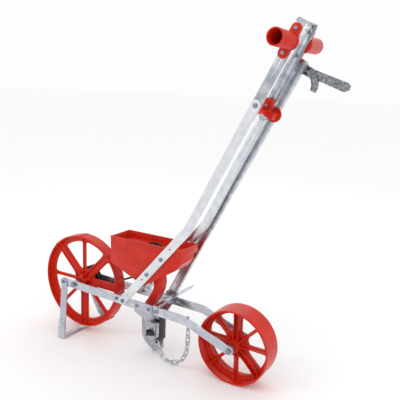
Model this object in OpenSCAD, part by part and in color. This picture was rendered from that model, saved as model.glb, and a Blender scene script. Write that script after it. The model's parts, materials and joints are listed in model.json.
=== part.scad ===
// Walk-behind garden row seeder: two spoked wheels in a flat-bar frame, a seed hopper driven by a belt,
// an opener shoe, a drag chain, a folding stand, a folding row marker and a bent handle with a cross grip.
// X points forward, Y to the seeder's left, Z up. The origin is on the ground, below the front axle.

/* [Wheels] */
// Outer radius of the front wheel
front_wheel_r = 148; // [120:1:160]
// Width of the front wheel's rim
front_wheel_w = 40; // [30:1:48]
// Height of the front axle while the seeder stands on its stand
front_axle_z = 165; // [160:1:185]
// Outer radius of the rear wheel
rear_wheel_r = 104; // [85:1:112]
// Width of the rear wheel's rim
rear_wheel_w = 70; // [50:1:74]
// Distance from the front axle to the rear axle
wheelbase = 552; // [520:1:600]
// Wall of the wheel rims
rim_t = 5; // [3:0.5:8]
// Thickness of the wheels' central web
web_t = 5; // [3:0.5:8]
// Diameter of both axle bolts
axle_d = 9.5; // [8:0.1:12]
// Running clearance of every turning bore, on the radius
run_gap = 0.06; // [0.02:0.01:0.1]

/* [Frame] */
// Width of the flat bar used for rails and handle
bar_w = 25.4; // [20:0.2:30]
// Thickness of the flat bar
bar_t = 3.2; // [2.5:0.1:5]
// Clear gap between the two side rails
rail_gap = 93.6; // [86:0.2:110]
// How far the stand pivot lies ahead of the front axle
stand_ahead = 42; // [34:1:50]
// Distance behind the front axle where the rails bend down
knee_back = 414; // [380:1:440]
// Height of the rails' centre line at that bend
knee_z = 152; // [140:1:165]

/* [Handle] */
// Distance behind the front axle of the handle's foot bolt
foot_back = 196; // [180:1:210]
// Rise of the lower handle bars above the horizontal
lower_angle = 49.2; // [46:0.2:52]
// Length of the lower bars from foot bolt to bend
lower_len = 329; // [300:1:345]
// Rise of the upper handle above the horizontal
upper_angle = 62.6; // [58:0.2:68]
// Distance from the bend to the bolt that joins lower and upper bars
joint_up = 379; // [340:1:400]
// Distance from the bend to the centre line of the grip
grip_up = 545.5; // [500:0.5:600]
// Inward lean of each handle side
lean = 1.0; // [0:0.1:1.4]
// Outer radius of the grip tubes
grip_r = 20; // [16:0.5:22]
// Length of each grip tube outside its flange
grip_len = 82; // [60:1:110]
// Distance between the two screws of a grip flange
grip_screws = 60; // [52:1:80]

/* [Hopper] */
// Distance behind the front axle of the hopper's front wall
hopper_front = 144; // [138:1:170]
// Outer length of the hopper
hopper_len = 246; // [220:1:255]
// Outer width of the hopper at its rim
hopper_w = 88; // [70:1:90]
// Height of the hopper's rim
hopper_top = 346; // [335:1:370]
// Height of the hopper's box above its sloping floor
hopper_box_h = 80; // [65:1:90]
// Wall thickness of the hopper
hopper_t = 2.5; // [2:0.1:4]
// Radius of the seed plate
plate_r = 52; // [40:1:52]
// Radius of both belt pulleys at the belt's centre
pulley_r = 35; // [30:1:40]
// Thickness of the round drive belt
belt_d = 6; // [4:0.5:8]

/* [Opener and chain] */
// Distance behind the front axle of the opener's centre
opener_back = 274; // [268:1:282]
// Height of the shoe's point above the ground, set shallow
shoe_z = 8; // [6:1:20]
// How far the shoe can be set deeper
shoe_travel = 26; // [15:1:32]
// Wire thickness of the drag chain
chain_wire = 3.6; // [2.5:0.1:3.8]

/* [Stand and row marker] */
// Width of the stand across its foot
stand_w = 194; // [170:1:220]
// How far the stand's foot lies behind its pivot
stand_back = 34; // [20:1:40]
// Distance behind the front axle of the marker arm's hinge
marker_back = 287; // [283:1:292]
// Height of the marker arm's hinge
marker_z = 160; // [156:1:166]
// How much longer the marker arm is than the lower handle
marker_extra = 461; // [411:1:466]
// Rise of the folded marker arm above the horizontal
marker_angle = 62; // [60:0.5:64]
// Distance from the arm's outer end to the marker head
marker_tip = 19; // [15:1:60]

/* [Hidden] */
$fn = 72;

// Fits and fasteners
touch = 0.01;
joint_gap = 0.3;
bolt_d = 5;
bolt_gap = 0.15;
// The round end of a bar is turned this much under the bar's width
end_step = 0.04;
axle_r = axle_d / 2;
bolt_r = bolt_d / 2;

// Planes across the seeder, measured from its middle
rail_in = rail_gap / 2;
rail_out = rail_in + bar_t;
lower_in = rail_out + 0.3;
upper_in = lower_in - bar_t;
strap_out = lower_in + bar_t;
belt_y = 31;
arm_in = rail_out + bar_t + 6;

// Places in the side view, as [x, z]
front_axle_at = [0, front_axle_z];
rear_axle_at = [-wheelbase, rear_wheel_r];
stand_at = [stand_ahead, front_axle_z];
knee_at = [-knee_back, knee_z];
foot_at = [-foot_back, rail_z(-foot_back)];
bend_at = foot_at + lower_len * dir(180 - lower_angle);
joint_at = bend_at + joint_up * dir(180 - upper_angle);
grip_at = bend_at + grip_up * dir(180 - upper_angle);
grip_low_at = grip_at - grip_screws / 2 * dir(180 - upper_angle);
grip_high_at = grip_at + grip_screws / 2 * dir(180 - upper_angle);
hinge_at = [-marker_back, marker_z];
marker_len = lower_len + marker_extra;
marker_head = marker_len - marker_tip;
seed_at = [-262, hopper_top - 64];
tie_at = [-170, rail_z(-170)];
hopper_foot_z = hopper_top - hopper_box_h;

// A direction in the side view, and the height of the rails' centre line at a place along them
function dir(a) = [cos(a), sin(a)];
function rail_z(x) = x > -knee_back
    ? front_axle_z + (knee_z - front_axle_z) * (stand_ahead - x) / (stand_ahead + knee_back)
    : knee_z + (rear_wheel_r - knee_z) * (-knee_back - x) / (wheelbase - knee_back);
function angle_of(v) = atan2(v[1], v[0]);

// Turns a flat side-view drawing in X and Z into a plate from y to y + t
module plate(y, t) {
    translate([0, y + t, 0]) rotate([90, 0, 0]) linear_extrude(t) children();
}
// A round bar or hole along Y at a place in the side view
module rod_y(at, r, y0, y1) {
    translate([at[0], y1, at[1]]) rotate([90, 0, 0]) cylinder(r = r, h = y1 - y0);
}
// A straight flat bar in the side view between two places, with round ends
module bar_2d(a, b, w = bar_w) {
    translate(a) rotate(angle_of(b - a)) translate([0, -w / 2]) square([norm(b - a), w]);
    for (p = [a, b]) translate(p) circle(d = w - end_step);
}
// A flat bar bent once on edge, from a through b to c, with round ends
module bent_bar_2d(a, b, c) {
    u = (b - a) / norm(b - a);
    v = (c - b) / norm(c - b);
    n = bar_w / 2 * [-u[1], u[0]];
    m = bar_w / 2 * [-v[1], v[0]];
    k = bar_w * bar_w / 2 * (n + m) / ((n + m) * (n + m));
    polygon([a - n, b - k, c - m, c + m, b + k, a + n]);
    for (p = [a, c]) translate(p) circle(d = bar_w - end_step);
}
// Everything on one handle side leans inward about the foot; s is 1 on the left and -1 on the right
module leaning(s) {
    scale_side(s) translate([0, lower_in, foot_at[1]]) rotate([lean, 0, 0])
        translate([0, -lower_in, -foot_at[1]]) children();
}
module scale_side(s) {
    if (s > 0) children();
    else mirror([0, 1, 0]) children();
}
// A bolt along Y: a shank from y0 to y1, a head past y1 and a nut past y0
module bolt_y(at, y0, y1, r = bolt_r, head = 4, nut = true) {
    rod_y(at, r, y0 - (nut ? head + 1 : 0), y1);
    rod_y(at, r * 1.9, y1, y1 + head * 0.8);
    if (nut) translate([at[0], y0, at[1]]) rotate([90, 0, 0]) cylinder(r = r * 1.85, h = head, $fn = 6);
}

// ---- Frame -------------------------------------------------------------------------------------------
module side_rail(s) {
    color("silver") scale_side(s) difference() {
        plate(rail_in, bar_t) bent_bar_2d(stand_at, knee_at, rear_axle_at);
        rail_bore(front_axle_at, axle_r + bolt_gap);
        rail_bore(rear_axle_at, axle_r + bolt_gap);
        rail_bore(stand_at, bolt_r + bolt_gap);
        rail_bore(foot_at, bolt_r + bolt_gap);
        rail_bore(tie_at, bolt_r + bolt_gap);
        for (p = opener_holes) rail_bore(p, bolt_r + bolt_gap);
        for (p = rest_holes) rail_bore(p, bolt_r + bolt_gap);
    }
}
module rail_bore(at, r) {
    rod_y(at, r, rail_in - 1, rail_out + 1);
}
module side_rail_left() side_rail(1);
module side_rail_right() side_rail(-1);

module rail_tie_tube() {
    color("silver") difference() {
        rod_y(tie_at, bolt_r + 3, -rail_in, rail_in);
        rod_y(tie_at, bolt_r + bolt_gap, -rail_in - 1, rail_in + 1);
    }
}
module rail_tie_bolt() {
    color("dimgray") bolt_y(tie_at, -rail_out, rail_out);
}

// ---- Handle ------------------------------------------------------------------------------------------
lower_end = joint_at + 2 * dir(180 - upper_angle);
upper_start = joint_at - 30 * dir(180 - upper_angle);
side_holes = [for (d = [30, 107, 130, 201, 247]) foot_at + d * dir(180 - lower_angle)];
spare_at = bend_at + 285 * dir(180 - upper_angle);

module lower_handle(s) {
    color("lightgray") difference() {
        leaning(s) difference() {
            plate(lower_in, bar_t) bent_bar_2d(foot_at, bend_at, lower_end);
            rod_y(joint_at, bolt_r + bolt_gap, lower_in - 1, strap_out + 1);
            for (p = side_holes) rod_y(p, bolt_r + bolt_gap, lower_in - 1, strap_out + 1);
        }
        scale_side(s) rod_y(foot_at, bolt_r + bolt_gap, lower_in - 2, strap_out + 2);
        scale_side(s) rod_y(spare_at, bolt_r + bolt_gap, 0, strap_out + 2);
    }
}
module upper_handle(s) {
    color("gray") leaning(s) difference() {
        plate(upper_in, bar_t) bar_2d(upper_start, grip_high_at);
        for (p = [joint_at, grip_low_at, grip_high_at])
            rod_y(p, bolt_r + bolt_gap, upper_in - 1, lower_in + 1);
    }
}
module lower_handle_left() lower_handle(1);
module lower_handle_right() lower_handle(-1);
module upper_handle_left() upper_handle(1);
module upper_handle_right() upper_handle(-1);

// The crown is a strap bent over the top of the handle, outside the upper bars and under the grip flanges
crown_rise = 24;
crown_bend = 15;
function crown_side(up) = lower_in + 0.2 - (grip_at[1] + up * sin(upper_angle) - foot_at[1]) * tan(lean);
module handle_crown() {
    low = -grip_screws / 2 - bar_w / 2;
    high = grip_screws / 2 + crown_rise;
    color("darkgray") handle_frame(grip_at) difference() {
        rotate([90, 0, 90]) translate([0, 0, -bar_w / 2]) linear_extrude(bar_w) difference() {
            crown_2d(low, high, bar_t, crown_bend);
            crown_2d(low - 1, high - bar_t, 0, crown_bend - bar_t);
        }
        for (d = [-1, 1]) translate([0, 0, d * grip_screws / 2])
            rod_y([0, 0], bolt_r + bolt_gap + 0.2, -rail_gap, rail_gap);
    }
}
// The crown's outline across the seeder, widened by t
module crown_2d(low, high, t, r) {
    wide = crown_side(high) + t;
    foot = crown_side(low) + t;
    polygon([[-foot, low], [foot, low], [wide, high - r], [-wide, high - r]]);
    translate([r - wide, high - r - 1]) square([2 * (wide - r), r + 1]);
    for (s = [-1, 1]) translate([s * (wide - r), high - r]) circle(r);
}
// A frame at a place on the handle, with Z along the upper handle and X square to it
module handle_frame(at) {
    translate([at[0], 0, at[1]]) rotate([0, upper_angle - 90, 0]) children();
}

// Each grip is a tube with a long flange, moulded in one piece and screwed to the outside of the crown
flange_t = 5;
grip_wall = 3;
grip_in = lower_in + bar_t + 0.5;
module grip(s) {
    color("red") leaning(s) difference() {
        union() {
            plate(grip_in, flange_t) bar_2d(grip_low_at, grip_high_at, bar_w);
            rod_y(grip_at, grip_r + 2, grip_in, grip_in + 8);
            rod_y(grip_at, grip_r, grip_in, grip_in + flange_t + grip_len);
        }
        rod_y(grip_at, grip_r - grip_wall, grip_in + flange_t, grip_in + flange_t + grip_len + 1);
        for (p = [grip_low_at, grip_high_at])
            rod_y(p, bolt_r + bolt_gap, grip_in - 1, grip_in + flange_t + 1);
    }
}
module grip_left() grip(1);
module grip_right() grip(-1);
module grip_screws() {
    color("dimgray") for (s = [-1, 1]) leaning(s) for (p = [grip_low_at, grip_high_at])
        bolt_y(p, upper_in, grip_in + flange_t, head = 3);
}
module handle_bolts() {
    color("dimgray") for (s = [-1, 1]) {
        scale_side(s) bolt_y(foot_at, rail_in, strap_out + 0.3);
        leaning(s) bolt_y(joint_at, upper_in - 2 * hook_t - 0.7, strap_out);
    }
}

// The marker hook is a moulded block between the upper bars, with a fork behind that holds the marker arm
hook_t = 6;
hook_len = 34;
hook_y = upper_in - (joint_at[1] - foot_at[1]) * tan(lean) - 0.3;
fork_z = [-26, -8];
fork_t = 5;
arm_x = -arm_place(joint_at)[0];
fork_y = arm_in - joint_gap;
module marker_hook() {
    color("red") difference() {
        handle_frame(joint_at) {
            difference() {
                translate([1 - bar_w / 2, -hook_y, -hook_len / 2]) cube([bar_w - 2, 2 * hook_y, hook_len]);
                translate([-bar_w, 2 * hook_t - hook_y, 8 - hook_len / 2])
                    cube([2 * bar_w, 2 * hook_y - 4 * hook_t, hook_len]);
            }
            fork();
        }
        for (s = [-1, 1]) leaning(s) rod_y(joint_at, bolt_r + bolt_gap, upper_in - 3 * hook_t, strap_out);
    }
}
// The fork passes behind the right bar and opens outward, so the arm can swing out of it
module fork() {
    back = arm_x - bar_w / 2 - joint_gap;
    front = arm_x + bar_w / 2 + joint_gap;
    behind = -bar_w / 2 - joint_gap;
    high = fork_z[1] - fork_z[0];
    reach = arm_in + 8;
    root = hook_y - 2 * hook_t;
    translate([back - fork_t, -fork_y, fork_z[0]]) cube([behind - back + fork_t, fork_y - root, high]);
    translate([back - fork_t, -fork_y, fork_z[0]]) cube([front - back + 2 * fork_t, fork_t, high]);
    for (x = [back - fork_t, front])
        translate([x, -reach, fork_z[0]]) cube([fork_t, reach - fork_y + 1, high]);
    translate([arm_x - 6, fork_t - fork_y, (fork_z[0] + fork_z[1]) / 2]) rotate([90, 0, 0])
        cylinder(r = 20, h = fork_t);
    translate([behind - 1, -hook_y, fork_z[0]]) cube([bar_w / 2, 2 * hook_t, high]);
}
// Where a place in the side view lies in the marker arm's own frame, as [across, along]
function arm_dir() = dir(180 - marker_angle);
function arm_place(p) = let (v = p - hinge_at) [v[0] * arm_dir()[1] - v[1] * arm_dir()[0], v * arm_dir()];

// ---- Front wheel -------------------------------------------------------------------------------------
hub_r = 17;
hub_len = 48;
// A wheel about the Y axis at the origin: rim, web ring, hub and eight spokes, of which some are wide
module wheel_body(r, w, wide, spoke_w, cleat) {
    inner = r - rim_t;
    plate_h = web_t - 1;
    ring = inner - r * 0.115;
    disc_r = hub_r * 2.2;
    rotate([90, 0, 0]) difference() {
        union() {
            rotate_extrude() {
                translate([inner, -w / 2]) square([rim_t, w]);
                translate([ring, -web_t / 2]) square([inner - ring + 1, web_t]);
            }
            cylinder(r = hub_r, h = hub_len, center = true);
            cylinder(r = disc_r, h = web_t + 2, center = true);
            for (k = [0:7]) rotate(k * 45) {
                is_wide = len([for (q = wide) if (q == k) q]) > 0;
                side = is_wide ? spoke_w * 1.15 : spoke_w / 2;
                root = side * 1.4;
                flare = side + 7;
                translate([0, 0, -plate_h / 2]) linear_extrude(plate_h)
                    polygon([[hub_r - 4, -root], [disc_r - 1, -root], [disc_r + 9, -side], [ring - 9, -side],
                        [ring + 2, -flare], [inner + 1, -flare], [inner + 1, flare], [ring + 2, flare],
                        [ring - 9, side], [disc_r + 9, side], [disc_r - 1, root], [hub_r - 4, root]]);
                for (y = is_wide ? [-spoke_w + 3, spoke_w - 3] : [0]) spoke_rib(inner, w, y);
                if (cleat > 0) translate([r - 2, -3.5, -w * 0.42]) cube([cleat + 2, 7, w * 0.84]);
            }
        }
        cylinder(r = axle_r + run_gap, h = w + hub_len, center = true);
        if (cleat > 0) for (k = [0:2]) rotate(-k * 120 - 30)
            translate([11, 0, hub_len / 2 - 7]) cylinder(r = 1.75, h = 8);
    }
}
// A wide spoke has a rib near each edge, a narrow one has a single rib along its middle
module spoke_rib(inner, w, y) {
    rib = 3.6;
    start = sqrt(hub_r * hub_r - y * y) - 3;
    translate([0, y + rib / 2, 0]) rotate([90, 0, 0]) linear_extrude(rib)
        polygon([[start, -hub_len * 0.4], [hub_r * 2.6, -w * 0.2], [inner - 10, -w * 0.22],
            [inner + 1.5, -w * 0.4], [inner + 1.5, w * 0.4], [inner - 10, w * 0.22],
            [hub_r * 2.6, w * 0.2], [start, hub_len * 0.4]]);
}
module front_wheel() {
    color("red") translate([0, 0, front_axle_z])
        wheel_body(front_wheel_r, front_wheel_w, [1, 3, 4, 6], 12, 3);
}
// Round-belt pulley about the Y axis, its groove a little wider than the belt
module pulley(r, w) {
    groove = belt_d / 2 + joint_gap;
    rotate([90, 0, 0]) rotate_extrude() difference() {
        translate([0, -w / 2]) square([r + belt_d * 0.4, w]);
        translate([r, 0]) circle(r = groove);
        translate([r, -groove]) square([belt_d, 2 * groove]);
    }
}
pulley_w = 15;
// The drive pulley is screwed to the end of the wheel's hub
module drive_pulley() {
    color("black") translate([0, -belt_y, front_axle_z]) difference() {
        union() {
            pulley(pulley_r, pulley_w);
            rod_y([0, 0], hub_r - 3, -pulley_w / 2 - 3, 0);
        }
        rod_y([0, 0], hub_r + 1, belt_y - hub_len / 2, belt_y);
        rod_y([0, 0], axle_r + run_gap, -belt_y, belt_y);
        for (k = [0:2]) rotate([0, k * 120 + 30, 0]) rod_y([11, 0], 1.75, -belt_y, belt_y);
    }
}
module pulley_screws() {
    color("dimgray") translate([0, -belt_y, front_axle_z]) for (k = [0:2]) rotate([0, k * 120 + 30, 0]) {
        rod_y([11, 0], 1.6, -pulley_w / 2 - 3, belt_y - hub_len / 2 + 6);
        rod_y([11, 0], 2.8, -pulley_w / 2 - 5, -pulley_w / 2 - 3);
    }
}
module front_axle() {
    color("dimgray") axle_bolt(front_axle_at, rail_out);
}
module front_axle_nut() {
    color("dimgray") axle_nut(front_axle_at, rail_out);
}
module axle_bolt(at, y) {
    rod_y(at, axle_r, -y - 12, y);
    translate([at[0], y + 6, at[1]]) rotate([90, 0, 0]) cylinder(r = axle_r * 1.7, h = 6, $fn = 6);
}
module axle_nut(at, y) {
    difference() {
        translate([at[0], -y, at[1]]) rotate([90, 0, 0]) cylinder(r = axle_r * 1.7, h = 7, $fn = 6);
        rod_y(at, axle_r, -y - 20, -y + 1);
    }
}
module front_spacers() {
    color("silver") {
        spacer(front_axle_at, hub_len / 2 + joint_gap, rail_in);
        spacer(front_axle_at, -rail_in, -belt_y - pulley_w / 2 - 3 - joint_gap);
    }
}
module spacer(at, y0, y1) {
    difference() {
        rod_y(at, axle_r + 3, y0, y1);
        rod_y(at, axle_r + 0.05, y0 - 1, y1 + 1);
    }
}

// ---- Rear wheel --------------------------------------------------------------------------------------
module rear_wheel() {
    color("red") translate([-wheelbase, 0, rear_wheel_r])
        wheel_body(rear_wheel_r, rear_wheel_w, [0, 2, 5], 10, 0);
}
module rear_axle() {
    color("dimgray") axle_bolt(rear_axle_at, rail_out);
}
module rear_axle_nut() {
    color("dimgray") axle_nut(rear_axle_at, rail_out);
}
module rear_spacers() {
    color("silver") for (s = [-1, 1]) scale_side(s) spacer(rear_axle_at, hub_len / 2 + joint_gap, rail_in);
}

// ---- Hopper and seed drive ---------------------------------------------------------------------------
hopper_rear = hopper_front + hopper_len;
hopper_low = [-258, hopper_top - 133];
pocket_y = 22;
// The hopper's right side steps in below this height, to leave room for the pulley and belt
shelf_z = seed_at[1] + pulley_r + belt_d / 2 + 2;
lip = 2;
// The hopper's outline from the side and from the front; the top edge can be raised to cut the mouth
function side_outline(top) = [[-hopper_front, top], [-hopper_front, hopper_foot_z], hopper_low,
    [-hopper_rear + 19, hopper_top - 62], [-hopper_rear, hopper_top - 39], [-hopper_rear, top]];
function front_outline(top) = [[hopper_w / 2, top], [hopper_w / 2, hopper_foot_z], [hopper_w / 2 - 12, 200],
    [-pocket_y, 200], [-pocket_y, shelf_z], [-hopper_w / 2, shelf_z + 2], [-hopper_w / 2, top]];
// Moves every edge of an outline inward by t
function inset(p, t) = [for (i = [0:len(p) - 1])
    let (a = p[(i + len(p) - 1) % len(p)], b = p[i], c = p[(i + 1) % len(p)],
        u = (b - a) / norm(b - a), v = (c - b) / norm(c - b),
        n = [-u[1], u[0]], m = [-v[1], v[0]])
    b + t * (n + m) / (1 + n * m)];
module hopper_solid(top, t) {
    side = t > 0 ? inset(side_outline(top), -t) : side_outline(top);
    front = t > 0 ? inset(front_outline(top), -t) : front_outline(top);
    intersection() {
        plate(-hopper_w, 2 * hopper_w) polygon(side);
        rotate([90, 0, 90]) translate([0, 0, -hopper_rear - 1]) linear_extrude(hopper_len + 2) polygon(front);
    }
}
mouth_x = -292;
module hopper() {
    color("red") difference() {
        union() {
            hopper_solid(hopper_top, 0);
            translate([-hopper_rear - lip, -hopper_w / 2 - 0.5, hopper_top - 3])
                cube([hopper_len + 2 * lip, hopper_w + 1, 3]);
            ear = hopper_holes[0];
            translate([ear[0] - 11, -hopper_w / 2, ear[1] - 11])
                cube([22, hopper_t, hopper_top - ear[1] + 2]);
            for (s = [-1, 1]) scale_side(s) rod_y(ear, 6.5, hopper_w / 2 - 1, boss_y);
            rod_y(low_hole, 6.5, low_nut, boss_y + 1);
        }
        hopper_solid(hopper_top + 20, hopper_t);
        rod_y(seed_at, shaft_r + run_gap, -hopper_w, -plate_t);
        translate([mouth_x - 11, -12, hopper_top - 140]) cube([22, 24, 60]);
        for (p = hopper_holes) rod_y(p, bolt_r + 2 * bolt_gap, -hopper_w, hopper_w);
        rod_y(low_hole, bolt_r + 2 * bolt_gap, 0, hopper_w);
    }
}
hopper_holes = [side_holes[3]];
low_hole = side_holes[2];
low_nut = hopper_w / 2 - 5;
boss_y = lower_in - 0.4 - (hopper_holes[0][1] - foot_at[1]) * tan(lean);
module hopper_bolts() {
    nut_y = hopper_w / 2 - hopper_t - 0.25 + (hopper_holes[0][1] - foot_at[1]) * tan(lean);
    color("dimgray") {
        for (s = [-1, 1]) leaning(s) bolt_y(hopper_holes[0], nut_y, strap_out);
        leaning(1) bolt_y(low_hole, low_nut - 0.2 + (low_hole[1] - foot_at[1]) * tan(lean), strap_out);
    }
}
// The chute takes the seed from the hopper's low side down between the rails
chute_y = 15;
// The chute's front and rear edges in the side view, from the hopper down
chute_front = [[-281, 228.3], [-281.5, 212], [-277, 196], [-266, 177]];
chute_rear = [[-292, 178], [-303, 200], [-307, 222], [-305, 243.4]];
module seed_chute() {
    outer = concat(chute_front, [[-245, 146], [-273, 146]], chute_rear);
    bore = concat([[-281, 260]], chute_front, [[-238, 136], [-266, 136]], chute_rear, [[-305, 260]]);
    color("red") difference() {
        plate(-chute_y, 2 * chute_y) polygon(outer);
        plate(2 - chute_y, 2 * chute_y - 4) polygon(inset(bore, -2));
        hopper_solid(hopper_top + 20, 0);
    }
}
shaft_r = 4;
plate_y = -18.5;
plate_t = 4;
module seed_plate() {
    color("gold") difference() {
        rod_y(seed_at, plate_r, plate_y, plate_y + plate_t);
        rod_y(seed_at, shaft_r + touch, plate_y - 1, plate_y + plate_t + 1);
        for (k = [0:23]) translate([seed_at[0], 0, seed_at[1]]) rotate([0, k * 15, 0])
            rod_y([plate_r - 4, 0], 2.6, plate_y - 1, plate_y + plate_t + 1);
    }
}
module plate_knob() {
    color("black") difference() {
        rod_y(seed_at, 11, plate_y + plate_t, plate_y + plate_t + 9);
        rod_y(seed_at, shaft_r + touch, plate_y + plate_t - 1, plate_y + plate_t + 6);
    }
}
module seed_shaft() {
    color("silver") rod_y(seed_at, shaft_r, -belt_y - pulley_w / 2 - 2, plate_y + plate_t + 6);
}
module seed_pulley() {
    color("black") translate([seed_at[0], -belt_y, seed_at[1]]) difference() {
        pulley(pulley_r, pulley_w);
        rod_y([0, 0], shaft_r + touch, -belt_y, belt_y);
    }
}
// The round belt runs straight between two half turns, one about each pulley
module drive_belt() {
    span = seed_at - front_axle_at;
    color("black") translate([0, -belt_y, front_axle_z]) rotate([0, -angle_of(span), 0]) {
        for (s = [-1, 1]) translate([0, 0, s * pulley_r]) rotate([0, 90, 0])
            cylinder(d = belt_d, h = norm(span));
        rotate([90, 0, 0]) rotate(90) rotate_extrude(angle = 180) translate([pulley_r, 0]) circle(d = belt_d);
        translate([norm(span), 0, 0]) rotate([90, 0, 0]) rotate(-90) rotate_extrude(angle = 180)
            translate([pulley_r, 0]) circle(d = belt_d);
    }
}

// ---- Opener ------------------------------------------------------------------------------------------
shoe_w = 24;
shoe_wall = 3;
bracket_x = [-opener_back - 29, -opener_back + 33];
opener_holes = [for (x = [bracket_x[0] + 12, bracket_x[1] - 8]) [x, rail_z(x)]];
leg_in = shoe_w / 2 + joint_gap;
clamp_at = [-opener_back + 2, 64];
module opener_bracket(s) {
    under = rail_z(-opener_back) - bar_w / 2 - 5;
    flange = under + 31;
    knee = 97;
    foot = 50;
    color("silver") scale_side(s) difference() {
        intersection() {
            rotate([90, 0, 90]) translate([0, 0, bracket_x[0]]) linear_extrude(bracket_x[1] - bracket_x[0])
                polygon([[rail_out, under + 1], [leg_in, knee + 1], [leg_in, foot], [leg_in + bar_t, foot],
                    [leg_in + bar_t, knee], [rail_out + bar_t, under], [rail_out + bar_t, flange],
                    [rail_out, flange]]);
            plate(0, rail_gap) polygon([[bracket_x[0], flange], [bracket_x[0], under],
                [clamp_at[0] - 19, knee], [clamp_at[0] - 15, foot], [clamp_at[0] + 17, foot],
                [clamp_at[0] + 17, knee],
                [bracket_x[1], under], [bracket_x[1], flange]]);
        }
        for (p = opener_holes) rod_y(p, bolt_r + bolt_gap, rail_out - 1, rail_out + bar_t + 1);
        rod_y(clamp_at, bolt_r + bolt_gap, 0, rail_in);
    }
}
module opener_bracket_left() opener_bracket(1);
module opener_bracket_right() opener_bracket(-1);
module opener_bolts() {
    color("dimgray") {
        for (p = opener_holes) bolt_y(p, rail_in, rail_out + bar_t, head = 3);
        scale_side(-1) bolt_y(opener_holes[1], rail_in, rail_out + bar_t, head = 3);
        scale_side(-1) bolt_y(opener_holes[0], rail_in, rail_out + 2 * bar_t, head = 3);
    }
}
// The shoe is a hollow keel, pointed in front and open behind, slotted for the clamp bolt
module opener_shoe() {
    nose = -opener_back + 44;
    tail = bracket_x[0] + 1;
    top = 100;
    color("silver") difference() {
        intersection() {
            linear_extrude(top) polygon([[nose, 0], [nose - 20, shoe_w / 2], [tail, shoe_w / 2],
                [tail, -shoe_w / 2], [nose - 20, -shoe_w / 2]]);
            plate(-shoe_w, 2 * shoe_w) polygon([[nose + 1, top], [nose + 1, shoe_z + 36],
                [tail + 18, shoe_z], [tail - 1, shoe_z + 6], [tail - 1, top]]);
        }
        translate([0, 0, -1]) linear_extrude(top + 2) polygon([[nose - 10, 0],
            [nose - 23, shoe_w / 2 - shoe_wall], [tail - 1, shoe_w / 2 - shoe_wall],
            [tail - 1, -shoe_w / 2 + shoe_wall], [nose - 23, -shoe_w / 2 + shoe_wall]]);
        plate(-shoe_w, 2 * shoe_w) bar_2d(clamp_at, clamp_at + [0, shoe_travel], bolt_d + 2 * joint_gap);
    }
}
module shoe_bolt() {
    color("dimgray") {
        rod_y(clamp_at, bolt_r, -leg_in - bar_t, leg_in + bar_t + 20);
        rod_y(clamp_at, bolt_r * 1.9, -leg_in - bar_t - 4, -leg_in - bar_t);
    }
}
module wing_nut() {
    y0 = leg_in + bar_t;
    color("dimgray") difference() {
        union() {
            rod_y(clamp_at, 5.5, y0, y0 + 7);
            for (s = [-1, 1]) translate([clamp_at[0] + s * 9, y0 + 5, clamp_at[1]]) rotate([0, 0, s * -35])
                translate([-7, -1.2, -5]) cube([14, 2.4, 10]);
        }
        rod_y(clamp_at, bolt_r + touch, y0 - 1, y0 + 30);
    }
}
// A plate behind the shoe; an ear at its lower left corner carries the end of the chain
defl_t = 3;
ear_at = [24, 52];
module opener_deflector() {
    side = leg_in + bar_t;
    color("black") translate([bracket_x[0] - defl_t, 0, 0]) difference() {
        union() {
            translate([0, -side, 45.5]) cube([defl_t, 2 * side, 90]);
            translate([0, side - 1, 45.5]) cube([defl_t, ear_at[0] + 9 - side, 15]);
        }
        translate([-1, ear_at[0], ear_at[1] + 1]) rotate([0, 90, 0]) cylinder(r = 4.6, h = defl_t + 2);
    }
}

// ---- Drag chain --------------------------------------------------------------------------------------
hook_x = -421;
// The chain's links, from the rail hook down to the ground and up to the deflector's ear: how far each
// hangs inside the rail, and its place seen from the side
link_in = [2.7, 2.7, 2.7, 3.4, 4.3, 5.5, 6.6, 7.8, 10.3, 15.1, rail_in - 26.3];
link_xz = [[-421, 115.2], [-421, 95.2], [-420, 75.3], [-416, 55.8], [-408, 37.6], [-395, 22.6],
    [-378, 12.6], [-358.5, 9.6], [-338.5, 13.5], [-322, 25.5], [-309.5, 42]];
link_at = [for (i = [0:len(link_xz) - 1]) [link_xz[i][0], rail_in - link_in[i], link_xz[i][1]]];
link_w = 15;
module chain_hook() {
    y_in = rail_in - 2.3;
    top = rail_z(hook_x) + bar_w / 2 + 3;
    color("dimgray") {
        translate([hook_x, y_in, 133]) cylinder(r = 2, h = top - 133);
        translate([hook_x, y_in, top]) sphere(2);
        translate([hook_x, y_in, top]) rotate([-90, 0, 0]) cylinder(r = 2, h = bar_t + 4.6);
        translate([hook_x, y_in + bar_t + 4.6, top]) sphere(2);
        translate([hook_x, y_in + bar_t + 4.6, top - 6]) cylinder(r = 2, h = 6);
        translate([hook_x, y_in, 128.4]) rotate([90, 0, 90]) rotate_extrude() translate([5, 0]) circle(1.8);
    }
}
module drag_chain() {
    n = len(link_at) - 1;
    color("dimgray") for (i = [0:n]) {
        a = link_at[max(0, i - 1)];
        b = link_at[min(n, i + 1)];
        v = b - a;
        translate(link_at[i]) rotate([0, acos(v[2] / norm(v)), atan2(v[1], v[0])])
            rotate(i % 2 * 90 + (i < n ? 20 : 0))
            link(norm(v) / (i == 0 || i == n ? 1 : 2) + 2 * chain_wire + 0.4);
    }
}
// A chain link along Z: two straight sides and two half rings
module link(length) {
    r = link_w / 2 - chain_wire / 2;
    half = length / 2 - r;
    for (s = [-1, 1]) {
        translate([s * r, 0, -half]) cylinder(d = chain_wire, h = 2 * half, $fn = 24);
        translate([0, 0, s * half]) rotate([90, 0, 0]) rotate(s > 0 ? 0 : 180)
            rotate_extrude(angle = 180, $fn = 24) translate([r, 0]) circle(d = chain_wire);
    }
}

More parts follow.
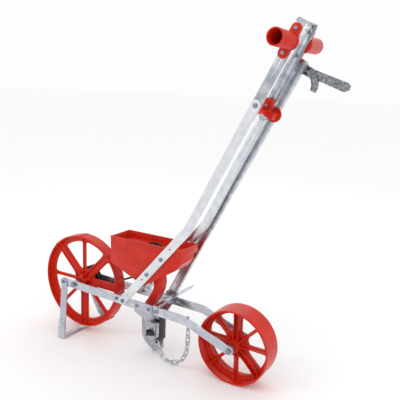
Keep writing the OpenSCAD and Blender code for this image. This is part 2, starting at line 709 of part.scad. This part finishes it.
// ---- Row marker --------------------------------------------------------------------------------------
rest_x = -315;
rest_w = 12;
rest_reach = 155;
rest_holes = [[rest_x, rail_z(rest_x)]];
module marker_rest() {
    top = rail_z(rest_x) + bar_w / 2 + 1;
    color("silver") difference() {
        union() {
            translate([0, 0, top]) linear_extrude(bar_t) polygon([[rest_x - rest_w / 2, rail_out + bar_t],
                [rest_x + rest_w / 2, rail_out + bar_t], [rest_x + rest_w / 2, -rest_reach + 30],
                [rest_x, -rest_reach], [rest_x - rest_w / 2, -rest_reach + 30]]);
            for (y = [-rail_out - bar_t, rail_out])
                translate([rest_x - rest_w / 2, y, top - 22]) cube([rest_w, bar_t, 24]);
        }
        rod_y(rest_holes[0], bolt_r + bolt_gap, -rail_out - 5, rail_out + 5);
    }
}
module rest_bolts() {
    color("dimgray") for (s = [-1, 1]) scale_side(s)
        bolt_y(rest_holes[0], rail_in, rail_out + bar_t, head = 3);
}
arm_t = 2.5;
arm_depth = 13;
pin_y = -arm_in - 8;
module arm_frame() {
    translate([hinge_at[0], 0, hinge_at[1]]) rotate([0, marker_angle - 90, 0]) children();
}
// The arm is an angle bar: a wide side and a narrow back that the hinge pin goes through
module marker_arm() {
    w = bar_w / 2;
    color("gainsboro") arm_frame() difference() {
        union() {
            translate([-w, -arm_in - arm_t, 1]) cube([bar_w, arm_t, marker_len - 1]);
            translate([-w, -arm_in - arm_depth, 0]) cube([arm_t, arm_depth, marker_len]);
            translate([-w, pin_y, 0]) rotate([0, 90, 0]) cylinder(r = arm_depth + arm_in + pin_y, h = arm_t);
        }
        translate([-w - 1, pin_y, 0]) rotate([0, 90, 0]) cylinder(r = bolt_r + run_gap, h = arm_t + 2);
    }
}
// A plate on the right rail, bent outward behind the arm to carry the hinge pin
module marker_bracket() {
    back = -bar_w / 2 - joint_gap - bar_t;
    base_y = rail_out + bar_t;
    color("silver") difference() {
        union() {
            arm_frame() translate([back, pin_y - 9, -16]) cube([bar_t, -pin_y + 9 - base_y, 30]);
            arm_frame() translate([back, -base_y - bar_t, -16]) cube([bar_w + 2, bar_t, 30]);
        }
        arm_frame() translate([back - 1, pin_y, 0]) rotate([0, 90, 0])
            cylinder(r = bolt_r + touch, h = bar_t + 2);
        scale_side(-1) rod_y(opener_holes[0], bolt_r + bolt_gap, base_y - 1, base_y + bar_t + 1);
    }
}
module marker_pin() {
    back = -bar_w / 2 - joint_gap - bar_t;
    color("dimgray") arm_frame() translate([0, pin_y, 0]) rotate([0, 90, 0]) {
        translate([0, 0, back - 4]) cylinder(r = bolt_r, h = 4 - back + bar_w / 2 + 2);
        translate([0, 0, back - 4]) cylinder(r = bolt_r * 1.8, h = 4, $fn = 6);
        translate([0, 0, bar_w / 2 + 2]) cylinder(r = bolt_r * 1.8, h = 3.5);
    }
}
clamp_len = 28;
clamp_t = 2;
clamp_gap = 0.4;
blade_len = 122;
blade_w = 24;
blade_t = 3;
blade_tilt = 8;
blade_y = -arm_in - arm_depth / 2;
// The marker head is a sheet clamp folded round the arm
module marker_clamp() {
    w = bar_w / 2 + clamp_gap;
    d = arm_depth + 2 * clamp_gap;
    color("gray") arm_frame() translate([0, -arm_in + clamp_gap, marker_head - clamp_len / 2]) difference() {
        translate([-w - clamp_t, -d - clamp_t, 0]) cube([2 * w + 2 * clamp_t, d + 2 * clamp_t, clamp_len]);
        translate([-w, -d, -1]) cube([2 * w, d, clamp_len + 2]);
    }
}
head_x = -bar_w / 2 - clamp_gap - clamp_t;
module head_frame() {
    arm_frame() translate([head_x, 0, marker_head]) children();
}
module marker_blade() {
    color("silver") head_frame() translate([0, blade_y + blade_t / 2, 0]) rotate([90, 0, 0])
        linear_extrude(blade_t) difference() {
            union() {
                translate([-18, -blade_w / 2]) square([18, blade_w]);
                translate([-14, 0]) rotate(-blade_tilt) polygon([[0, -blade_w / 2 + 2], [0, blade_w / 2 - 2],
                    [-blade_len + 22, blade_w / 2], [-blade_len + 14, blade_w / 2 - 5],
                    [-blade_len + 14, -blade_w / 2 + 8], [-blade_len + 24, -blade_w / 2]]);
            }
            for (y = [-6, 6]) translate([-9, y]) circle(r = bolt_r * 0.8 + bolt_gap);
        }
}
// A curved tooth that scratches the line
module marker_horn() {
    color("dimgray") head_frame() translate([0, blade_y + blade_t / 2 + 8, 0]) rotate([90, 0, 0])
        linear_extrude(8) difference() {
            union() {
                intersection() {
                    translate([-14, -30]) circle(40);
                    translate([-60, -34]) square([60, 60]);
                }
            }
            translate([-8, -38]) circle(32);
            translate([-8, -80]) square([30, 60]);
            for (y = [-6, 6]) translate([-9, y]) circle(r = bolt_r * 0.8 + bolt_gap);
        }
}
module clamp_nuts() {
    color("dimgray") head_frame() for (z = [-6, 6])
        bolt_y([-9, z], blade_y - blade_t / 2, blade_y + blade_t / 2 + 8, bolt_r * 0.8, 3);
}

// ---- Stand -------------------------------------------------------------------------------------------
stand_t = bar_t;
leg_y = rail_out + joint_gap;
leg_lean = atan2(stand_back, front_axle_z);
leg_drop = norm([stand_back, front_axle_z]);
leg_top = 16;
leg_splay = atan2(stand_w / 2 - stand_t - leg_y, leg_drop - leg_top);
// Each stand leg hangs straight from its pivot for a short way and then splays outward to the foot
module stand_frame() {
    translate([stand_at[0], 0, stand_at[1]]) rotate([0, leg_lean, 0]) children();
}
module stand_leg(s) {
    low = -leg_drop + 14;
    color("silver") scale_side(s) stand_frame() difference() {
        union() {
            rotate([90, 0, 90]) translate([0, 0, -bar_w / 2]) linear_extrude(bar_w)
                polygon([[leg_y, 0], [leg_y, -leg_top], [leg_side(low), low], [leg_side(low) + stand_t, low],
                    [leg_y + stand_t, -leg_top], [leg_y + stand_t, 0]]);
            rod_y([0, 0], bar_w / 2, leg_y, leg_y + stand_t);
        }
        rod_y([0, 0], bolt_r + run_gap, leg_y - 1, leg_y + stand_t + 1);
        rivet_place() rod_y([0, 0], 2.1, -9, 9);
    }
}
function leg_side(z) = leg_y - (z + leg_top) * tan(leg_splay);
rivet_up = 44;
module rivet_place() {
    z = -leg_drop + rivet_up;
    translate([0, leg_side(z) + stand_t, z]) rotate([leg_splay, 0, 0]) children();
}
module stand_leg_left() stand_leg(1);
module stand_leg_right() stand_leg(-1);
// The foot is a flat bar on the ground whose ends turn up outside the legs
module stand_foot() {
    color("silver") difference() {
        union() {
            translate([stand_ahead - stand_back - bar_w / 2, -stand_w / 2 - stand_t, 0])
                cube([bar_w, stand_w + 2 * stand_t, stand_t]);
            for (s = [-1, 1]) scale_side(s) stand_frame() rotate([90, 0, 90])
                translate([0, 0, -bar_w / 2]) linear_extrude(bar_w) polygon([
                    [leg_side(-leg_drop - 3) + stand_t + 0.1, -leg_drop - 3],
                    [leg_side(-leg_drop + rivet_up + 12) + stand_t + 0.1, -leg_drop + rivet_up + 12],
                    [leg_side(-leg_drop + rivet_up + 12) + 2 * stand_t + 0.1, -leg_drop + rivet_up + 12],
                    [leg_side(-leg_drop - 3) + 2 * stand_t + 0.1, -leg_drop - 3]]);
        }
        translate([-wheelbase, -stand_w, -20]) cube([2 * wheelbase, 2 * stand_w, 20]);
        for (s = [-1, 1]) scale_side(s) stand_frame() rivet_place() rod_y([0, 0], 2.1, -9, 9);
    }
}
module stand_rivets() {
    color("gray") for (s = [-1, 1]) scale_side(s) stand_frame() rivet_place() {
        rod_y([0, 0], 2, -stand_t, stand_t + 0.2);
        rod_y([0, 0], 4, stand_t + 0.1, stand_t + 1.8);
        rod_y([0, 0], 4, -stand_t - 1.7, -stand_t);
    }
}
module stand_bolts() {
    color("dimgray") for (s = [-1, 1]) scale_side(s)
        bolt_y(stand_at, rail_in, leg_y + stand_t + joint_gap, bolt_r, 4);
}

side_rail_left();
side_rail_right();
lower_handle_left();
lower_handle_right();
upper_handle_left();
upper_handle_right();
handle_crown();
grip_left();
grip_right();
grip_screws();
marker_hook();
handle_bolts();
hopper();
hopper_bolts();
seed_chute();
plate_knob();
seed_plate();
seed_shaft();
seed_pulley();
drive_belt();
front_wheel();
drive_pulley();
pulley_screws();
front_axle();
front_axle_nut();
front_spacers();
rear_wheel();
rear_axle();
rear_axle_nut();
rear_spacers();
rail_tie_bolt();
rail_tie_tube();
opener_bracket_left();
opener_bracket_right();
opener_bolts();
opener_shoe();
shoe_bolt();
wing_nut();
opener_deflector();
chain_hook();
drag_chain();
marker_rest();
rest_bolts();
marker_bracket();
marker_pin();
marker_arm();
marker_clamp();
marker_blade();
marker_horn();
clamp_nuts();
stand_leg_left();
stand_leg_right();
stand_foot();
stand_rivets();
stand_bolts();
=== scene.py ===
# %% [markdown]
# # A walk-behind garden row seeder
# The seeder is a bench-built machine: flat aluminium bar bolted into a frame, red moulded plastic for
# the wheels, hopper, chute and grips, and zinc-plated steel for the parts that touch the soil.
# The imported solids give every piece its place. This script gives the pieces their made look: softened
# edges, drawn and plated metal, moulded plastic, and then a plain studio to stand in.

# %% Setup
import json
import math

import bmesh
import bpy
from mathutils import Matrix, Vector


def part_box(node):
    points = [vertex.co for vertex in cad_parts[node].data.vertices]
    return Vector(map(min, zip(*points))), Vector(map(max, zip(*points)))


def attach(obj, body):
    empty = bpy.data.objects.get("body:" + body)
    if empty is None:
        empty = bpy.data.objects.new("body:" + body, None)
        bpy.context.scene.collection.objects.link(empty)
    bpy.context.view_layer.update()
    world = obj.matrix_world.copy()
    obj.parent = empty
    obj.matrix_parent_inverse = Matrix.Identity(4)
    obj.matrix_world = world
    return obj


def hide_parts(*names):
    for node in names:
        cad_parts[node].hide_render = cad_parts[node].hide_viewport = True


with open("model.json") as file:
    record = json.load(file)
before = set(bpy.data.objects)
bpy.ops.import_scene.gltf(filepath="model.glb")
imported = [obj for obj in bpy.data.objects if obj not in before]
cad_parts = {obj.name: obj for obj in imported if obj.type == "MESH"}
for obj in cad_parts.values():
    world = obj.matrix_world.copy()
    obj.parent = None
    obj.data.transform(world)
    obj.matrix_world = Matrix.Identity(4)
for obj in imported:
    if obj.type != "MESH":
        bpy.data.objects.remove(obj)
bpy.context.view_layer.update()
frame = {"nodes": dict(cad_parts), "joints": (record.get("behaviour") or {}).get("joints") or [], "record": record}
BODY_OF = {node: body for body, nodes in frame["record"]["behaviour"]["bodies"].items() for node in nodes}
MM = 0.001
WELD = 0.000002
FLAT_DEGREES, EDGE_DEGREES = 0.8, 32
print("nodes:", len(frame["nodes"]))


def linear(code):
    """A colour written as an sRGB hex code, as the linear values a shader needs."""
    parts = [int(code[i:i + 2], 16) / 255 for i in (1, 3, 5)]
    return [c / 12.92 if c <= 0.04045 else ((c + 0.055) / 1.055) ** 2.4 for c in parts] + [1.0]


def add(tree, kind, sockets=None, **settings):
    """Adds one shader node. Sockets take a plain value, or another node's output to link from."""
    made = tree.nodes.new(kind)
    for key, value in settings.items():
        setattr(made, key, value)
    for key, value in (sockets or {}).items():
        if isinstance(value, bpy.types.NodeSocket):
            tree.links.new(value, made.inputs[key])
        else:
            made.inputs[key].default_value = value
    return made


def new_material(name):
    """An empty node material with its shader and the place in the seeder, in metres, to draw patterns on."""
    made = bpy.data.materials.new(name)
    made.use_nodes = True
    tree = made.node_tree
    shader = tree.nodes["Principled BSDF"]
    place = add(tree, "ShaderNodeTexCoord").outputs["Object"]
    return made, tree, shader, place


def spread(tree, source, low, high, start=0.3, stop=0.7):
    """Maps a grey pattern onto the range low to high."""
    return add(tree, "ShaderNodeMapRange", {"Value": source, "From Min": start, "From Max": stop,
                                            "To Min": low, "To Max": high}).outputs["Result"]


def speckle(tree, place, size_mm, detail=2.0):
    """A cloudy pattern whose patches are about size_mm across."""
    return add(tree, "ShaderNodeTexNoise", {"Vector": place, "Scale": 1000 / size_mm, "Detail": detail}).outputs["Fac"]


# %% [markdown]
# ## Red moulded polypropylene
# The wheels, hopper, chute, grips and marker hook are injection-moulded in one red plastic. A polished
# mould leaves a glossy skin, with faint flow clouds in the colour, a slow waviness where the plastic
# shrank, and fine scuffs that break up the shine. So the gloss varies by patch, and two bumps of very
# different size lie over each other.

# %% Red plastic
RED, RED_DEEP = "#D2260A", "#BE1C06"


def red_plastic(name, wave_mm, gloss):
    made, tree, shader, place = new_material(name)
    clouds = speckle(tree, place, 45, 3.0)
    colour = add(tree, "ShaderNodeMixRGB", {"Fac": spread(tree, clouds, 0, 1), "Color1": linear(RED),
                                            "Color2": linear(RED_DEEP)})
    scuffs = speckle(tree, place, 6, 6.0)
    rough = spread(tree, scuffs, gloss, gloss + 0.1)
    grain = add(tree, "ShaderNodeBump", {"Height": speckle(tree, place, 0.7, 2.0), "Distance": 0.00001,
                                         "Strength": 0.25})
    wave = add(tree, "ShaderNodeBump", {"Height": speckle(tree, place, wave_mm, 1.0), "Distance": 0.0004,
                                        "Strength": 0.3, "Normal": grain.outputs["Normal"]})
    tree.links.new(colour.outputs["Color"], shader.inputs["Base Color"])
    tree.links.new(rough, shader.inputs["Roughness"])
    tree.links.new(wave.outputs["Normal"], shader.inputs["Normal"])
    shader.inputs["Specular IOR Level"].default_value = 0.25
    return made


wheel_red = red_plastic("red polypropylene, moulded wheel", 30, 0.26)
hopper_red = red_plastic("red polypropylene, moulded hopper", 60, 0.22)
grip_red = red_plastic("red polypropylene, moulded grip", 18, 0.28)

# %% [markdown]
# ## Drawn aluminium bar
# Flat bar and angle are drawn through a die, which leaves long hairlines along each length of bar. The
# lines run with the bar, so each direction of bar has its own material, turned to suit. Each of these
# materials also has its own painted grey. The lower handle and the angle are lighter, a painted highlight.
# The rails and legs are darker, a painted shade, and the upper handle's deep grey clouds are painted dark
# reflection. Handling adds duller patches, and the mill finish is a little cloudy.

# %% Aluminium
HAIRLINE_LONG, HAIRLINE_WIDE = 0.12, 0.0007


def drawn_aluminium(name, rise_degrees, light, dark, around=(0, 1, 0)):
    """Mill-finish aluminium whose hairlines run at rise_degrees above forward, in the side view or, with
    around = (1, 0, 0), across the seeder."""
    made, tree, shader, place = new_material(name)
    turn = -math.radians(rise_degrees)
    rotation = (0, turn, 0) if around[1] else (0, 0, math.radians(90))
    along = add(tree, "ShaderNodeMapping", {"Vector": place, "Rotation": rotation,
                                            "Scale": (HAIRLINE_LONG, HAIRLINE_WIDE, HAIRLINE_WIDE)},
                vector_type="TEXTURE").outputs["Vector"]
    lines = add(tree, "ShaderNodeTexNoise", {"Vector": along, "Scale": 1.0, "Detail": 3.0}).outputs["Fac"]
    clouds = speckle(tree, place, 22, 4.0)
    both = add(tree, "ShaderNodeMath", {0: lines, 1: clouds}, operation="MULTIPLY").outputs["Value"]
    colour = add(tree, "ShaderNodeMixRGB", {"Fac": spread(tree, both, 0, 1, 0.15, 0.35), "Color1": linear(light),
                                            "Color2": linear(dark)})
    tree.links.new(colour.outputs["Color"], shader.inputs["Base Color"])
    tree.links.new(spread(tree, both, 0.22, 0.36, 0.1, 0.4), shader.inputs["Roughness"])
    bump = add(tree, "ShaderNodeBump", {"Height": lines, "Distance": 0.000005, "Strength": 0.25})
    tree.links.new(bump.outputs["Normal"], shader.inputs["Normal"])
    shader.inputs["Metallic"].default_value = 1.0
    return made


# The light and dark greys below differ by part as painted light: lighter greys are painted highlight, darker greys
# painted shade and dark reflection.
rail_alu = drawn_aluminium("aluminium, drawn, rails", 0, "#CDD0D8", "#B6BAC4")
lower_alu = drawn_aluminium("aluminium, drawn, lower handle", 124, "#E4E6EA", "#D0D3D8")
upper_alu = drawn_aluminium("aluminium, drawn, upper handle", 117.4, "#CED2D8", "#969CA5")
arm_alu = drawn_aluminium("aluminium angle, drawn", 118, "#E0E2E6", "#ABB0B7")
leg_alu = drawn_aluminium("aluminium, drawn, stand legs", 78, "#C0C4CE", "#A8ADB8")
cross_alu = drawn_aluminium("aluminium, drawn, cross pieces", 0, "#CACDD3", "#AEB2B9", around=(1, 0, 0))

# %% [markdown]
# ## Zinc plate, black steel, rubber and black plastic
# The shoe, chain and marker head are mild steel with a thin zinc plate, which dries in soft cloudy
# patches with a cold tint. Bolts and clamps are darker, oiled steel with a slight brown cast. The same
# near-black steel colours the opener deflector behind the shoe, as painted shade for the shadowed rear
# of the shoe. The belt is smooth round rubber, and the pulleys are plain black plastic with a matt mould
# texture.

# %% Steel, rubber and black plastic
def steel(name, light, dark, patch_mm, low, high):
    made, tree, shader, place = new_material(name)
    clouds = speckle(tree, place, patch_mm, 5.0)
    fine = speckle(tree, place, 0.8, 3.0)
    colour = add(tree, "ShaderNodeMixRGB", {"Fac": spread(tree, clouds, 0, 1), "Color1": linear(light),
                                            "Color2": linear(dark)})
    tree.links.new(colour.outputs["Color"], shader.inputs["Base Color"])
    tree.links.new(spread(tree, clouds, low, high), shader.inputs["Roughness"])
    bump = add(tree, "ShaderNodeBump", {"Height": fine, "Distance": 0.00005, "Strength": 0.5})
    tree.links.new(bump.outputs["Normal"], shader.inputs["Normal"])
    shader.inputs["Metallic"].default_value = 1.0
    return made


def dull_black(name, shade, grain_mm, rough):
    made, tree, shader, place = new_material(name)
    dust = speckle(tree, place, 9, 5.0)
    colour = add(tree, "ShaderNodeMixRGB", {"Fac": spread(tree, dust, 0, 0.5, 0.5, 0.75), "Color1": linear(shade),
                                            "Color2": linear("#3A3836")})
    tree.links.new(colour.outputs["Color"], shader.inputs["Base Color"])
    tree.links.new(spread(tree, dust, rough, rough + 0.2), shader.inputs["Roughness"])
    bump = add(tree, "ShaderNodeBump", {"Height": speckle(tree, place, grain_mm, 2.0), "Distance": 0.00008,
                                        "Strength": 0.5})
    tree.links.new(bump.outputs["Normal"], shader.inputs["Normal"])
    return made


zinc = steel("mild steel, zinc plated", "#C3C7CC", "#989DA3", 7, 0.24, 0.46)
bright = steel("mild steel, bright zinc plated", "#D4D7DB", "#A9AEB5", 4, 0.16, 0.34)
bolt_zinc = steel("bolt steel, dull zinc", "#A4A7AB", "#74777B", 2, 0.28, 0.5)
steel_bare = steel("spring steel, bare", "#A9ADB2", "#5A5E64", 7, 0.2, 0.4)
dark = steel("mild steel, oiled black, with painted shade", "#55524F", "#2E2C2B", 3, 0.3, 0.5)
rubber = dull_black("rubber, smooth extruded belt", "#161616", 1.2, 0.55)
black_plastic = dull_black("nylon, moulded black", "#1B1B1C", 0.6, 0.42)

# %% [markdown]
# ## Softened pieces
# No cut bar or moulding has a knife edge. A sheared bar has a small deburred edge, and a moulding a
# radius that lets it leave its mould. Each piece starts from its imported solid, has its flat faces joined
# up, and gets rounded edges of its own real radius. Only the edges change, so every hole and face stays
# where it was made.

# %% Softened pieces
def softened(node, radius_mm, finish):
    """A rounded-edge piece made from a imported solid, which it then stands for."""
    source = frame["nodes"][node]
    mesh = source.data.copy()
    mesh.materials.clear()
    work = bmesh.new()
    work.from_mesh(mesh)
    bmesh.ops.remove_doubles(work, verts=work.verts, dist=WELD)
    bmesh.ops.dissolve_limit(work, angle_limit=math.radians(FLAT_DEGREES), verts=work.verts, edges=work.edges)
    work.to_mesh(mesh)
    work.free()
    piece = bpy.data.objects.new(node + "_finished", mesh)
    bpy.context.scene.collection.objects.link(piece)
    if radius_mm:
        soft = piece.modifiers.new("edge", "BEVEL")
        soft.width = radius_mm * MM
        soft.segments = 2
        soft.limit_method = "ANGLE"
        soft.angle_limit = math.radians(EDGE_DEGREES)
        soft.use_clamp_overlap = True
    baked = bpy.data.meshes.new_from_object(piece.evaluated_get(bpy.context.evaluated_depsgraph_get()))
    piece.modifiers.clear()
    piece.data = baked
    baked.shade_smooth()
    baked.set_sharp_from_angle(angle=math.radians(EDGE_DEGREES))
    baked.materials.append(finish)
    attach(piece, BODY_OF[node])
    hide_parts(node)


FINISH = {
    "hopper": (hopper_red, 0.8), "seed_chute": (hopper_red, 0.6),
    "grip_left": (grip_red, 0.9), "grip_right": (grip_red, 0.9),
    "side_rail_left": (rail_alu, 0.4), "side_rail_right": (rail_alu, 0.4),
    "lower_handle_left": (lower_alu, 0.4), "lower_handle_right": (lower_alu, 0.4),
    "upper_handle_left": (upper_alu, 0.4), "upper_handle_right": (upper_alu, 0.4),
    "handle_crown": (upper_alu, 0.5), "marker_arm": (arm_alu, 0.35),
    "stand_leg_left": (leg_alu, 0.4), "stand_leg_right": (leg_alu, 0.4), "stand_foot": (cross_alu, 0.4),
    "marker_rest": (cross_alu, 0.4), "rail_tie_tube": (cross_alu, 0.4), "marker_bracket": (leg_alu, 0.4),
    "opener_bracket_left": (leg_alu, 0.4), "opener_bracket_right": (leg_alu, 0.4),
    "opener_shoe": (zinc, 0.5), "drag_chain": (bright, 0), "chain_hook": (bright, 0),
    "front_spacers": (zinc, 0.3), "rear_spacers": (zinc, 0.3), "stand_rivets": (bright, 0.4),
    "seed_shaft": (bright, 0.3), "marker_clamp": (zinc, 0.5), "marker_blade": (steel_bare, 0.4),
    "drive_pulley": (black_plastic, 0.5), "seed_pulley": (black_plastic, 0.5), "plate_knob": (black_plastic, 0.8),
    "seed_plate": (black_plastic, 0.3), "drive_belt": (rubber, 0),
    # The opener deflector's near-black steel is painted shade for the shadowed rear of the shoe.
    "opener_deflector": (dark, 0.4), "clamp_nuts": (dark, 0.4), "wing_nut": (dark, 0.8),
    "shoe_bolt": (dark, 0.4), "marker_horn": (steel_bare, 1.2),
}
MOULDED = {"front_wheel": (wheel_red, 1.5, 9), "rear_wheel": (wheel_red, 1.5, 9),
           "marker_hook": (grip_red, 0.9, 10)}
for node in sorted(frame["nodes"]):
    if node not in MOULDED:
        finish, radius = FINISH.get(node, (bolt_zinc, 0.5))
        softened(node, radius, finish)
print("softened pieces:", len(frame["nodes"]) - len(MOULDED))

# %% [markdown]
# ## Moulded wheels and hook
# Hot plastic can't fill a sharp inner corner, so a mould is cut with a fillet wherever a rib meets a
# plate. The wheels and the marker hook are rebuilt from their solids as one even skin, and the skin is
# relaxed until each inner corner is a fillet of 2 to 3 mm and each outer edge is round.

# %% Moulded pieces
def moulded(node, finish, grid_mm, passes):
    """A piece whose inner and outer corners are all rounded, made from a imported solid."""
    piece = bpy.data.objects.new(node + "_moulded", frame["nodes"][node].data.copy())
    piece.data.materials.clear()
    bpy.context.scene.collection.objects.link(piece)
    skin = piece.modifiers.new("skin", "REMESH")
    skin.mode = "VOXEL"
    skin.voxel_size = grid_mm * MM
    relax = piece.modifiers.new("relax", "SMOOTH")
    relax.factor = 0.5
    relax.iterations = passes
    baked = bpy.data.meshes.new_from_object(piece.evaluated_get(bpy.context.evaluated_depsgraph_get()))
    piece.modifiers.clear()
    piece.data = baked
    baked.shade_smooth()
    baked.materials.append(finish)
    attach(piece, BODY_OF[node])
    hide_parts(node)
    print(node, "faces", len(baked.polygons))


for node, (finish, grid_mm, passes) in MOULDED.items():
    moulded(node, finish, grid_mm, passes)

# %% [markdown]
# ## Washers, hub rims and thread
# Small turned parts make a bolted frame look bolted. Each bolt head in the frame sits on a plain zinc
# washer. The wheel hubs end in a raised rim that takes the rub of the spacer. The long clamp bolt of the
# opener shows its thread. All are turned from a profile, given as radius and distance along the axis.

# %% Turned details
TURN_STEPS, CREASE_DEGREES = 40, 35


def turned(name, profile, centre, axis, finish, body):
    """A lathe-turned piece: a closed profile in mm, as (radius, along), spun about an axis at a place."""
    mesh = bpy.data.meshes.new(name)
    turn = Vector((0, 0, 1)).rotation_difference(Vector(axis)).to_matrix()
    points, faces, n = [], [], len(profile)
    for k in range(TURN_STEPS):
        a = 2 * math.pi * k / TURN_STEPS
        for radius, along in profile:
            spot = Vector((radius * math.cos(a), radius * math.sin(a), along))
            points.append(Vector(centre) + turn @ spot * MM)
        for i in range(n):
            j, q = (i + 1) % n, (k + 1) % TURN_STEPS
            faces.append((k * n + i, q * n + i, q * n + j, k * n + j))
    mesh.from_pydata(points, [], faces)
    mesh.shade_smooth()
    mesh.set_sharp_from_angle(angle=math.radians(CREASE_DEGREES))
    mesh.materials.append(finish)
    made = bpy.data.objects.new(name, mesh)
    bpy.context.scene.collection.objects.link(made)
    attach(made, body)


def solids(node):
    """The lowest and highest corner of each separate solid in a node, from front to back."""
    work = bmesh.new()
    work.from_mesh(frame["nodes"][node].data)
    bmesh.ops.remove_doubles(work, verts=work.verts, dist=WELD)
    left, found = set(work.verts), []
    while left:
        edge = [left.pop()]
        group = list(edge)
        while edge:
            for link in edge.pop().link_edges:
                for v in link.verts:
                    if v in left:
                        left.discard(v)
                        edge.append(v)
                        group.append(v)
        low = Vector([min(v.co[i] for v in group) for i in range(3)])
        high = Vector([max(v.co[i] for v in group) for i in range(3)])
        found.append((low, high))
    work.free()
    return sorted(found, key=lambda box: tuple(round(v / WELD) for v in (*box[0], *box[1])), reverse=True)


WASHER = [(4.85, 0), (6.6, 0), (6.7, 0.15), (6.7, 0.75), (6.55, 0.9), (4.85, 0.9)]
HEAD = {"handle_bolts": 3.2, "hopper_bolts": 3.2, "opener_bolts": 2.4, "rest_bolts": 2.4, "rail_tie_bolt": 3.2}
count = 0
for node, head in HEAD.items():
    for low, high in solids(node):
        side = 1 if high.y > -low.y else -1
        outer = high.y if side > 0 else low.y
        at = ((low.x + high.x) / 2, outer - side * head * MM, (low.z + high.z) / 2)
        turned(f"{node}_washer_{count}", WASHER, at, (0, side, 0), zinc, BODY_OF[node])
        count += 1
print("washers:", count)

HUB_RIM = [(12.5, 0), (15.8, 0), (15.8, 0.9), (15.2, 1.4), (13.1, 1.4), (12.5, 0.9)]
axle = {j["child"]: Vector(j["pos_m"]) for j in frame["joints"] if j["type"] == "hinge"}
HUB_FACE = 23.8 * MM
turned("front_hub_rim", HUB_RIM, axle["front_wheel"] + Vector((0, HUB_FACE, 0)), (0, 1, 0), wheel_red,
       "front_wheel")
for side in (-1, 1):
    turned("rear_hub_rim_" + ("left" if side > 0 else "right"), HUB_RIM,
           axle["rear_wheel"] + Vector((0, side * HUB_FACE, 0)), (0, side, 0), wheel_red, "rear_wheel")

low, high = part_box("shoe_bolt")
THREAD_PITCH, THREAD_LENGTH = 0.8, 11.0
crests = []
for k in range(int(THREAD_LENGTH / THREAD_PITCH)):
    start = k * THREAD_PITCH
    crests += [(2.5, start), (2.85, start + THREAD_PITCH / 2)]
thread = [(2.3, 0)] + crests + [(2.5, THREAD_LENGTH), (2.3, THREAD_LENGTH)]
turned("shoe_bolt_thread", thread, ((low.x + high.x) / 2, high.y - (THREAD_LENGTH + 0.5) * MM, (low.z + high.z) / 2),
       (0, 1, 0), dark, BODY_OF["shoe_bolt"])

# %% [markdown]
# ## Studio
# A plain pale floor that runs into an even white room, with three soft panels for a little direction.
# Nothing else stands in the room, so the seeder can be looked at from any side.

# %% Floor, light and camera
scene = bpy.context.scene
scene.view_settings.view_transform = "Standard"
FLOOR = 40.0
floor_mesh = bpy.data.meshes.new("floor")
floor_mesh.from_pydata([(-FLOOR, -FLOOR, 0), (FLOOR, -FLOOR, 0), (FLOOR, FLOOR, 0), (-FLOOR, FLOOR, 0)], [],
                       [(0, 1, 2, 3)])
floor = bpy.data.objects.new("floor", floor_mesh)
scene.collection.objects.link(floor)
paper, tree, shader, place = new_material("paper, matt white")
tree.links.new(spread(tree, speckle(tree, place, 4, 3.0), 0.86, 0.94), shader.inputs["Roughness"])
shader.inputs["Base Color"].default_value = linear("#FCFCFC")
floor_mesh.materials.append(paper)

world = bpy.data.worlds.new("studio")
scene.world = world
world.use_nodes = True
tree = world.node_tree
sky = tree.nodes["Background"]
sky.inputs["Color"].default_value = linear("#FDFDFD")
sky.inputs["Strength"].default_value = 1.0


def panel(name, at, toward, size, watts):
    """A square light panel at a place, facing another, both in metres."""
    light = bpy.data.lights.new(name, "AREA")
    light.size = size
    light.energy = watts
    made = bpy.data.objects.new(name, light)
    scene.collection.objects.link(made)
    made.location = at
    made.rotation_euler = (Vector(toward) - Vector(at)).to_track_quat("-Z", "Y").to_euler()


MIDDLE = (-0.3, 0, 0.4)
panel("key", (0.9, 2.2, 2.4), MIDDLE, 1.0, 9)
panel("fill", (-2.6, 0.8, 1.2), MIDDLE, 1.6, 4)
panel("back", (0.4, -2.4, 2.0), MIDDLE, 1.4, 4)

camera = bpy.data.cameras.new("camera")
camera.lens, camera.sensor_width = 48.6, 36.0
eye = bpy.data.objects.new("camera", camera)
scene.collection.objects.link(eye)
EYE_AT = (-1.146, 1.224, 0.783)
right, upward = Vector((-0.855, -0.518, 0.037)).normalized(), Vector((0.137, -0.157, 0.978))
upward = (upward - right * upward.dot(right)).normalized()
back = right.cross(upward)
eye.matrix_world = Matrix.Translation(EYE_AT) @ Matrix((right, upward, back)).transposed().to_4x4()
scene.camera = eye
